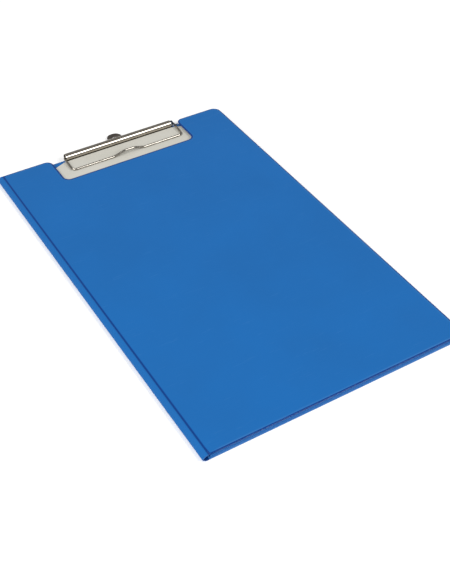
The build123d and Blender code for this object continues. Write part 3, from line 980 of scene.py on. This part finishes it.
# %% [markdown]
# ## The ribbed weld
#
# The tool that welds the sheets is serrated on the inner side, so both welded edges show a
# row of fine cross ribs when the folder opens. More than nine hundred go round each panel.
# An Array modifier on a curve would bend the bars at the corners, so this is work for
# Geometry Nodes: a closed line is sampled at even steps, and a low round bar is placed at
# each step, across the line.

# %% Helpers for Geometry Nodes
def growth_tree(name, sizes):
    """A tree that grows a mesh from a line: the tree, its input node and the line as a curve."""
    tree = bpy.data.node_groups.new(name, "GeometryNodeTree")
    tree.interface.new_socket("Line", in_out="INPUT", socket_type="NodeSocketGeometry")
    for socket, value in sizes.items():
        made = tree.interface.new_socket(socket, in_out="INPUT", socket_type="NodeSocketFloat")
        made.default_value = value
    tree.interface.new_socket("Material", in_out="INPUT", socket_type="NodeSocketMaterial")
    tree.interface.new_socket("Mesh", in_out="OUTPUT", socket_type="NodeSocketGeometry")
    given = tree.nodes.new("NodeGroupInput")
    line = tree.nodes.new("GeometryNodeMeshToCurve")
    link(tree, given.outputs["Line"], line.inputs["Mesh"])
    return tree, given, line.outputs["Curve"]


def close_tree(tree, given, geometry):
    """Makes instances real, sets the material and ends the tree."""
    real = tree.nodes.new("GeometryNodeRealizeInstances")
    painted = tree.nodes.new("GeometryNodeSetMaterial")
    result = tree.nodes.new("NodeGroupOutput")
    link(tree, geometry, real.inputs["Geometry"])
    link(tree, real.outputs["Geometry"], painted.inputs["Geometry"])
    link(tree, given.outputs["Material"], painted.inputs["Material"])
    link(tree, painted.outputs["Geometry"], result.inputs["Mesh"])
    return tree


def grown(name, mesh, tree, **values):
    """The mesh that a Geometry Nodes tree grows from another, with its inputs set."""
    holder = linked(name, mesh)
    added = holder.modifiers.new("grown", "NODES")
    added.node_group = tree
    for socket in tree.interface.items_tree:
        key = socket.name.replace(" ", "_")
        if key in values:
            added[socket.identifier] = values[key]
    return evaluated(holder)


def line_mesh(name, points, closed=False):
    """A line of edges for a tree to work on."""
    made = bpy.data.meshes.new(name)
    ends = [(i, (i + 1) % len(points)) for i in range(len(points) if closed else len(points) - 1)]
    made.from_pydata(points, ends, [])
    return made


# %% Geometry Nodes: ribs along a line
def rib_tree():
    """A node tree that lays ribs across the line that it is given."""
    sizes = {"Pitch": 1.2 * MM, "Rib Length": 0.8 * MM, "Rib Width": 0.5 * MM, "Rib Rise": 0.1 * MM}
    tree, given, line = growth_tree("weld ribs", sizes)
    sampled = node(tree, "GeometryNodeResampleCurve", mode="LENGTH")
    link(tree, line, sampled.inputs["Curve"])
    link(tree, given.outputs["Pitch"], sampled.inputs["Length"])
    half_width = math_node(tree, "MULTIPLY", given.outputs["Rib Width"], 0.5)
    bar = node(tree, "GeometryNodeMeshCylinder", Vertices=10, fill_type="NGON")
    link(tree, half_width, bar.inputs["Radius"])
    link(tree, given.outputs["Rib Length"], bar.inputs["Depth"])
    squeeze = node(tree, "ShaderNodeCombineXYZ", X=1.0, Z=1.0)
    flatness = math_node(tree, "DIVIDE", given.outputs["Rib Rise"], half_width)
    link(tree, flatness, squeeze.inputs["Y"])
    laid = node(tree, "GeometryNodeTransform", Rotation=(math.pi / 2, 0.0, 0.0))
    link(tree, bar.outputs["Mesh"], laid.inputs["Geometry"])
    link(tree, squeeze.outputs["Vector"], laid.inputs["Scale"])
    heading = tree.nodes.new("GeometryNodeInputTangent")
    turned = node(tree, "FunctionNodeAlignRotationToVector", axis="X", pivot_axis="Z")
    link(tree, heading.outputs["Tangent"], turned.inputs["Vector"])
    placed = tree.nodes.new("GeometryNodeInstanceOnPoints")
    link(tree, sampled.outputs["Curve"], placed.inputs["Points"])
    link(tree, laid.outputs["Geometry"], placed.inputs["Instance"])
    link(tree, turned.outputs["Rotation"], placed.inputs["Rotation"])
    return close_tree(tree, given, placed.outputs["Instances"])


ribs = rib_tree()
print("tree:", ribs.name, "with", len(ribs.nodes), "nodes")

# %% [markdown]
# The ribs stand on the inner sheets' welded edge, half sunk in it, and stop short of the
# cut edge. They are pale all over: vinyl stretched pale by the tool, and a painted
# highlight for the light that they catch. Each panel gets its own mesh, because the two
# panels move apart.

# %% Lay the ribs round both panels
RIB_LINE = 0.62 * MM         # from the cut edge to the middle of the ribs
RIB_SEAT = 0.33 * MM         # how high the welded edge stands over the sheet's foot


def weld_ribs(name, corners, height, body):
    """A row of ribs round a panel, at that height."""
    line = line_mesh(name, [(*point, height) for point in outline(corners, RIB_LINE)], closed=True)
    made = smooth(grown(name, line, ribs, Material=finishes["blue_pvc"]), 60.0)
    # pale all over: stretched vinyl, and painted highlight
    pale = made.attributes.new("rim", "FLOAT", "POINT")
    pale.data.foreach_set("value", [1.0] * len(made.vertices))
    return piece_from(name, made, "blue_pvc", body)


weld_ribs("back_weld_ribs", back_corners, back_inner_base + back_rise * RIB_SEAT, "back_panel")
weld_ribs("cover_weld_ribs", cover_corners, cover_inner_base - cover_rise * RIB_SEAT, "front_cover")

# %% [markdown]
# ## The soft spine
#
# Between the two panels the sheets are welded into one strip, which folds round like a C.
# It is pressed thin along each crease, where it hinges, and stands up again beside the
# groove. The strip is one mesh: a closed section carried along the folder's length. Two
# rigid halves would part at the fold, so one strip stands for both halves of the frame's
# spine.

# %% Section of the spine in millimetres: out from the creases, up from the middle
spine_outer = [
    (-0.13, 2.6), (0.1, 2.55), (0.32, 2.56), (0.55, 2.66), (0.8, 2.78), (1.15, 2.83), (1.6, 2.77),
    (2.2, 2.54), (2.9, 2.14), (3.6, 1.6), (4.2, 1.0), (4.65, 0.5), (4.9, 0.2), (4.97, 0.0),
]
spine_inner = [
    (-0.13, 2.28), (0.3, 2.22), (0.9, 2.24), (1.5, 2.15), (2.1, 1.93), (2.7, 1.57), (3.3, 1.1),
    (3.8, 0.6), (4.15, 0.22), (4.25, 0.0),
]
SPINE_STEPS = 70
GROOVE_REACH = 0.75          # of the pressed line, in millimetres from the crease
# the glassy look in the groove also paints its shade
GROOVE_SHADE_RATE = 1.6           # how fast the glassy look grows towards the crease


def spine_mesh(name):
    """The spine's strip: glassy weld with painted shade along its two hinge lines, and painted shade
    all over its inside.
    """
    middle_z = (lower_crease_z + upper_crease_z) / 2
    outer = spine_outer + [(out, -up) for out, up in reversed(spine_outer[:-1])]
    inner = spine_inner + [(out, -up) for out, up in reversed(spine_inner[:-1])]
    section = outer + inner[::-1]
    work = bmesh.new()
    weld = work.verts.layers.float.new("weld")
    work.verts.layers.float.new("rim")
    rings = []
    for step in range(SPINE_STEPS + 1):
        y = bottom_y + (top_y - bottom_y) * step / SPINE_STEPS
        ring = []
        for index, (out, up) in enumerate(section):
            ring.append(work.verts.new((crease_x - out * MM, y, middle_z + up * MM)))
            # the groove is dark as weld and painted shade; the whole inside of the C is painted
            # shade
            in_groove = min(1.0, GROOVE_SHADE_RATE * max(0.0, 1 - out / GROOVE_REACH))
            ring[-1][weld] = in_groove if index < len(outer) else 1.0
        rings.append(ring)
    bridge(work, rings)
    for end in (rings[0], rings[-1]):
        work.faces.new(end)
    bmesh.ops.recalc_face_normals(work, faces=work.faces)
    bmesh.ops.triangulate(work, faces=[face for face in work.faces if len(face.verts) > 4])
    return smooth(mesh_of(name, work))


spine = piece_from("spine_strip", spine_mesh("spine_strip"), "blue_pvc")
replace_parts(spine, "spine_lower", "spine_upper")
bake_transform(spine)

# %% [markdown]
# ## The pocket inside the cover
#
# One sheet of vinyl is welded to the inside of the cover on three sides. Its mouth has a
# round cut for a thumb, and the sheet bellies out a little there, because nothing holds it.
# It needs nothing new: the same function takes its outline, its profile and its belly.

# %% Make the pocket
pocket_low, pocket_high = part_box("cover_pocket")
POCKET_SHEET = pocket_high.z - pocket_low.z
THUMB_CUT = 12 * MM
THUMB_RADIUS = 9.2 * MM
POCKET_BELLY = 0.35 * MM
pocket_x = (pocket_low.x + pocket_high.x) / 2
pocket_corners = [
    (pocket_low.x, pocket_low.y, 0.0),
    (pocket_high.x, pocket_low.y, 0.0),
    (pocket_high.x, pocket_high.y, 0.0),
    (pocket_x + THUMB_CUT, pocket_high.y, 0.0),
    (pocket_x + THUMB_CUT, pocket_high.y - THUMB_CUT, THUMB_RADIUS),
    (pocket_x - THUMB_CUT, pocket_high.y - THUMB_CUT, THUMB_RADIUS),
    (pocket_x - THUMB_CUT, pocket_high.y, 0.0),
    (pocket_low.x, pocket_high.y, 0.0),
]
pocket_profile = [
    (0.0, -0.12, 0.0, 0.6), (0.1, -0.03, 0.6, 0.3), (0.3, 0.0, 0.8, 0.0), (0.7, -0.03, 0.2, 0.6),
    (1.1, -0.1, 0.0, 1.0), (1.6, -0.1, 0.0, 1.0), (2.0, -0.03, 0.1, 0.5), (2.6, 0.0, 0.0, 0.0),
]


def belly(x, y):
    """How far the pocket hangs off the cover: most at the middle of its mouth."""
    up = (y - pocket_low.y) / (pocket_high.y - pocket_low.y)
    aside = 2 * abs(x - pocket_x) / (pocket_high.x - pocket_low.x)
    return -POCKET_BELLY * up**3 * max(0.0, 1 - aside**2)


pocket = piece_from("pocket_sheet", sheet_mesh(
    "pocket_sheet", pocket_corners, scaled(pocket_profile, pocket_low.z, -1), belly, False, False,
    thickness=POCKET_SHEET,
), "pocket_pvc", "front_cover")
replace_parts(pocket, "cover_pocket")

# %% [markdown]
# ## The light sheet under the clip
#
# The inner face is lined with a smooth light sheet. It lies on the panel, climbs on to the
# clip's base and runs on under the bow, so it shows in the window. A tongue of it is tucked
# in under the barrel. Where it crosses the two rivets it stands up a hair, and it isn't
# quite even anywhere. A cloth simulation would be slow for so little, so a function gives
# the height of each point. The net is finer than the other sheets', because the climb is
# short.

# %% Shape of the lining
lining_low, lining_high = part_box("lining_sheet")
LINING_SHEET = 0.2 * MM
LINING_RAMP = 8 * MM
LINING_RAMP_GAP = 0.5 * MM   # from the top of the climb to the base plate
LINING_STEP = 2.6 * MM
LINING_CORNER = 2.5 * MM
TONGUE = 3.0 * MM            # how far it is tucked in
TRIM = 2.2 * MM              # how far its edge is cut back beside the tongue
TONGUE_SLANT = 13 * MM       # width of the tongue's slanting ends
TONGUE_SPREAD = 1.5 * MM     # from the barrel's ends to where the slants end
RIVET_SWELL = 0.05 * MM
SWELL_REACH = 7 * MM
RIPPLE = 0.03 * MM
RIPPLE_TURNS = (95, 140)     # radians a metre, along X and Y
RIPPLE_STARTS = (0.8, 1.9)
ramp_end_y = base_low.y - LINING_RAMP_GAP
ramp_start_y = ramp_end_y - LINING_RAMP
lining_climb = lining_high.z - lining_low.z - LINING_SHEET


def lining_height(x, y):
    """Height of the lining's underside."""
    share = min(1.0, max(0.0, (y - ramp_start_y) / LINING_RAMP))
    climb = lining_climb * share * share * (3 - 2 * share)
    swell = 0.0
    for rivet_x in rivet_xs:
        reach = math.hypot(x - rivet_x, y - rivet_y) / SWELL_REACH
        swell += RIVET_SWELL * max(0.0, 1 - reach) ** 2
    across = math.sin(RIPPLE_TURNS[0] * x + RIPPLE_STARTS[0])
    along = math.sin(RIPPLE_TURNS[1] * y + RIPPLE_STARTS[1])
    ripple = RIPPLE * share * (1 + across * along) / 2
    return lining_low.z + climb + swell + ripple


print("the lining climbs", round(lining_climb / MM, 2), "mm")


# %% Make the lining
def lining_mesh(name):
    """A net of points over the lining, with rounded corners, thickened upward."""
    low, high = lining_low, lining_high
    places = ((low.x, low.y), (high.x, low.y), (high.x, high.y), (low.x, high.y))
    corners = [(*place, LINING_CORNER) for place in places]
    work = bmesh.new()
    ring = [work.verts.new((*point, 0)) for point in outline(corners, step=LINING_STEP)]
    for vertex in ring:
        if vertex.co.y > high.y - HAIR:
            beyond = max(base_low.x - vertex.co.x, vertex.co.x - base_high.x) - TONGUE_SPREAD
            share = min(1.0, max(0.0, 1 - beyond / TONGUE_SLANT))
            vertex.co.y += TONGUE * share - TRIM * (1 - share)
    fill_net(work, ring, 0, LINING_STEP)
    for vertex in work.verts:
        vertex.co.z = lining_height(vertex.co.x, vertex.co.y)
    work.normal_update()
    shell = {"thickness": LINING_SHEET, "offset": 1.0, "use_even_offset": True}
    return smooth(baked(name, mesh_of(name, work), ("SOLIDIFY", shell)))


lining_piece = piece_from("lining_paper", lining_mesh("lining_paper"), "lining", "back_panel")
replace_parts(lining_piece, "lining_sheet")

# %% [markdown]
# ## Round wire: the bow and its spring
#
# Both are bent from round wire, so they need a line and a radius. A bevelled curve would
# do as well. A Geometry Nodes tree is used here, because the bow and the spring then share
# one recipe, which turns any open line into wire with closed ends.

# %% Geometry Nodes: round wire along a line
def wire_tree():
    """A node tree that gives a line a round section."""
    tree, given, line = growth_tree("round wire", {"Wire Radius": 0.5 * MM})
    section = node(tree, "GeometryNodeCurvePrimitiveCircle", Resolution=12)
    link(tree, given.outputs["Wire Radius"], section.inputs["Radius"])
    wire = node(tree, "GeometryNodeCurveToMesh", Fill_Caps=True)
    link(tree, line, wire.inputs["Curve"])
    link(tree, section.outputs["Curve"], wire.inputs["Profile Curve"])
    return close_tree(tree, given, wire.outputs["Mesh"])


round_wire = wire_tree()
print("tree:", round_wire.name, "with", len(round_wire.nodes), "nodes")

# %% [markdown]
# The bow is one wire, bent on a jig. It starts in the left bush, comes out of the barrel,
# runs forward, across the front with a raised middle for a fingertip, and back to the right
# bush. A jig knows only straight runs and bends, and so does the function for its line.

# %% A line of straight runs and arcs
def rounded_line(corners, radii):
    """Straight runs joined by arcs: one radius for each corner between the two ends."""
    corners = [Vector(corner) for corner in corners]
    points = [corners[0]]
    for before, corner, after, radius in zip(corners, corners[1:], corners[2:], radii):
        way_in, way_out = (corner - before).normalized(), (after - corner).normalized()
        turn = way_in.angle(way_out)
        start = corner - way_in * radius * math.tan(turn / 2)
        side = (way_out - way_in * way_in.dot(way_out)).normalized()
        for step in range(ARC_STEPS + 1):
            angle = turn * step / ARC_STEPS
            ahead, aside = radius * math.sin(angle), radius * (1 - math.cos(angle))
            points.append(start + way_in * ahead + side * aside)
    return points + [corners[-1]]


# %% Make the wire bow
BOW_WIRE = 1.0 * MM          # radius
RIGHT_DRAW = 1.0 * MM        # how far the right leg draws in towards the front
TAIL_BEND, FRONT_BEND, LIFT_BEND = 2.6 * MM, 3.5 * MM, 4.0 * MM
LIFT_TOP, LIFT_RAMP = 8.4 * MM, 10.6 * MM
BUSH_LENGTH = 5.0 * MM
TAIL_END = 4.4 * MM          # how far a tail reaches past its bush
bow_joint = next(j for j in frame["record"]["behaviour"]["joints"] if j["name"] == "bow_turn")
barrel_y, barrel_z = bow_joint["pos_m"][1:]
bush_low, bush_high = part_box("barrel_bushes")
clip_x = (bow_low.x + bow_high.x) / 2
left_x, right_x = bow_low.x + BOW_WIRE, bow_high.x - BOW_WIRE
front_y, front_z, lift_z = bow_low.y + BOW_WIRE, bow_low.z + BOW_WIRE, bow_high.z - BOW_WIRE
bow_line = rounded_line(
    [
        (bush_low.x + BUSH_LENGTH + TAIL_END, barrel_y, barrel_z),
        (left_x, barrel_y, barrel_z),
        (left_x, front_y, front_z),
        (clip_x - LIFT_TOP / 2 - LIFT_RAMP, front_y, front_z),
        (clip_x - LIFT_TOP / 2, front_y, lift_z),
        (clip_x + LIFT_TOP / 2, front_y, lift_z),
        (clip_x + LIFT_TOP / 2 + LIFT_RAMP, front_y, front_z),
        (right_x - RIGHT_DRAW, front_y, front_z),
        (right_x, barrel_y, barrel_z),
        (bush_high.x - BUSH_LENGTH - TAIL_END, barrel_y, barrel_z),
    ],
    [TAIL_BEND, FRONT_BEND] + [LIFT_BEND] * 4 + [FRONT_BEND, TAIL_BEND],
)
bow_mesh = grown(
    "bow_wire", line_mesh("bow_wire", bow_line), round_wire,
    Wire_Radius=BOW_WIRE, Material=finishes["nickel_wire"],
)
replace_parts(piece_from("bow_wire", smooth(bow_mesh), "nickel_wire", "clip_bow"), "wire_bow")

# %% [markdown]
# The spring's close turns sit on the bow's right tail. One leg bears on the base, and the
# other runs forward and is bent over the bow. A Screw modifier makes even turns, but these
# grow wider and hang forward outside the barrel, so the line comes from a formula.

# %% Line of the spring
SPRING_WIRE = 0.5 * MM       # radius of its wire
SPRING_TURNS = 7.5
TURN_STEPS = 26
COIL_LENGTH = 8.0 * MM
COIL_RADIUS = 2.1 * MM       # at the barrel, to the middle of the wire
COIL_SWELL = 0.5 * MM        # how much the radius has grown at the last turn
COIL_DROOP = 1.0 * MM        # how far the last turn hangs forward
BASE_LEG = 1.2 * MM
BOW_LEG = 5.0 * MM
BOW_LEG_DROP = 1.1 * MM
BEND = 1.0 * MM              # radius of the bend over the bow
BEND_STEPS = 8
TIP = 3.2 * MM               # from the last turn to the wire's end, past the bow
coil_start_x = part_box("torsion_spring")[0].x + SPRING_WIRE
coil_end_x = coil_start_x + COIL_LENGTH


def spring_line():
    """Points of the wire: the leg on the base, the turns, and the leg bent over the bow."""
    points = [(coil_start_x, barrel_y - BASE_LEG, barrel_z - COIL_RADIUS)]
    steps = round(SPRING_TURNS * TURN_STEPS)
    for step in range(steps + 1):
        share, angle = step / steps, math.pi * (1 + 2 * step / TURN_STEPS)
        x = coil_start_x + COIL_LENGTH * share
        outside = max(0.0, (x - base_high.x) / (coil_end_x - base_high.x))
        radius, droop = COIL_RADIUS + COIL_SWELL * outside, COIL_DROOP * outside
        y, z = barrel_y - droop - radius * math.sin(angle), barrel_z + radius * math.cos(angle)
        points.append((x, y, z))
    x, y, z = points[-1]
    leg_z = z - BOW_LEG_DROP
    for step in range(BEND_STEPS + 1):
        turn = math.pi / 2 * step / BEND_STEPS
        aside, ahead = BEND * (1 - math.cos(turn)), BOW_LEG - BEND * (1 - math.sin(turn))
        points.append((x + aside, y - ahead, leg_z))
    points.append((x + TIP, y - BOW_LEG, leg_z))
    return points


print(SPRING_TURNS, "turns in", round(COIL_LENGTH / MM, 1), "mm")

# %% [markdown]
# On the real clip the spring's leg moves with the bow, while its turns stay in the barrel.
# Here the spring is one piece, on no moving part.

# %% Make the spring
spring_mesh = grown(
    "torsion_coil", line_mesh("torsion_coil", spring_line()), round_wire,
    Wire_Radius=SPRING_WIRE, Material=finishes["spring_steel"],
)
spring = piece_from("torsion_coil", smooth(spring_mesh), "spring_steel")
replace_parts(spring, "torsion_spring")
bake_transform(spring)

# %% [markdown]
# ## Stage
#
# A plain pale floor, two soft boxes and a dim, even room. The barrel tells where the light
# is, because it is a small mirror: a dark band runs along its upper back, a narrow cream
# one along its front, and below that it only shows the folder. A sky or a wide panel would
# wash that band out. So the key is a soft box, about twenty-five degrees wide, that stands
# on the camera's right. A second box fills in from the left, where neither the barrel nor
# the wire mirrors it to the camera.

# %% Floor
FLOOR_SIZE = 6.0             # metres
FLOOR_WHITE = (0.93, 0.93, 0.93, 1.0)
floor_mesh = bpy.data.meshes.new("floor")
half = FLOOR_SIZE / 2
floor_mesh.from_pydata(
    [(-half, -half, 0), (half, -half, 0), (half, half, 0), (-half, half, 0)], [], [(0, 1, 2, 3)]
)
new_material("floor", Base_Color=FLOOR_WHITE, Roughness=0.9)
floor_mesh.materials.append(finishes["floor"])
linked("floor", floor_mesh)
print("floor", FLOOR_SIZE, "m wide")

# %% Light and room
BOX_DISTANCE = 4.0           # metres, from the middle of the folder's back
ROOM_LIGHT = 0.33
SOFT_BOXES = {               # azimuth, elevation, width in metres, power in watts
    "key": (32.0, 38.7, 1.75, 79),
    "fill": (-58.0, 50.0, 3.2, 164),
}
for name, (box_azimuth, box_elevation, width, power) in SOFT_BOXES.items():
    direction = toward(box_azimuth, box_elevation)
    lamp = bpy.data.lights.new(name, "AREA")
    lamp.shape = "SQUARE"
    lamp.size, lamp.energy = width, power
    placed = linked(name, lamp)
    placed.location = direction * BOX_DISTANCE
    placed.rotation_euler = direction.to_track_quat("Z", "Y").to_euler()
    print(name, "light:", power, "watts")

world = bpy.data.worlds.new("room")
world.use_nodes = True
background = world.node_tree.nodes["Background"]
background.inputs["Color"].default_value = (1.0, 1.0, 1.0, 1.0)
background.inputs["Strength"].default_value = ROOM_LIGHT
scene.world = world
scene.view_settings.view_transform = "Standard"
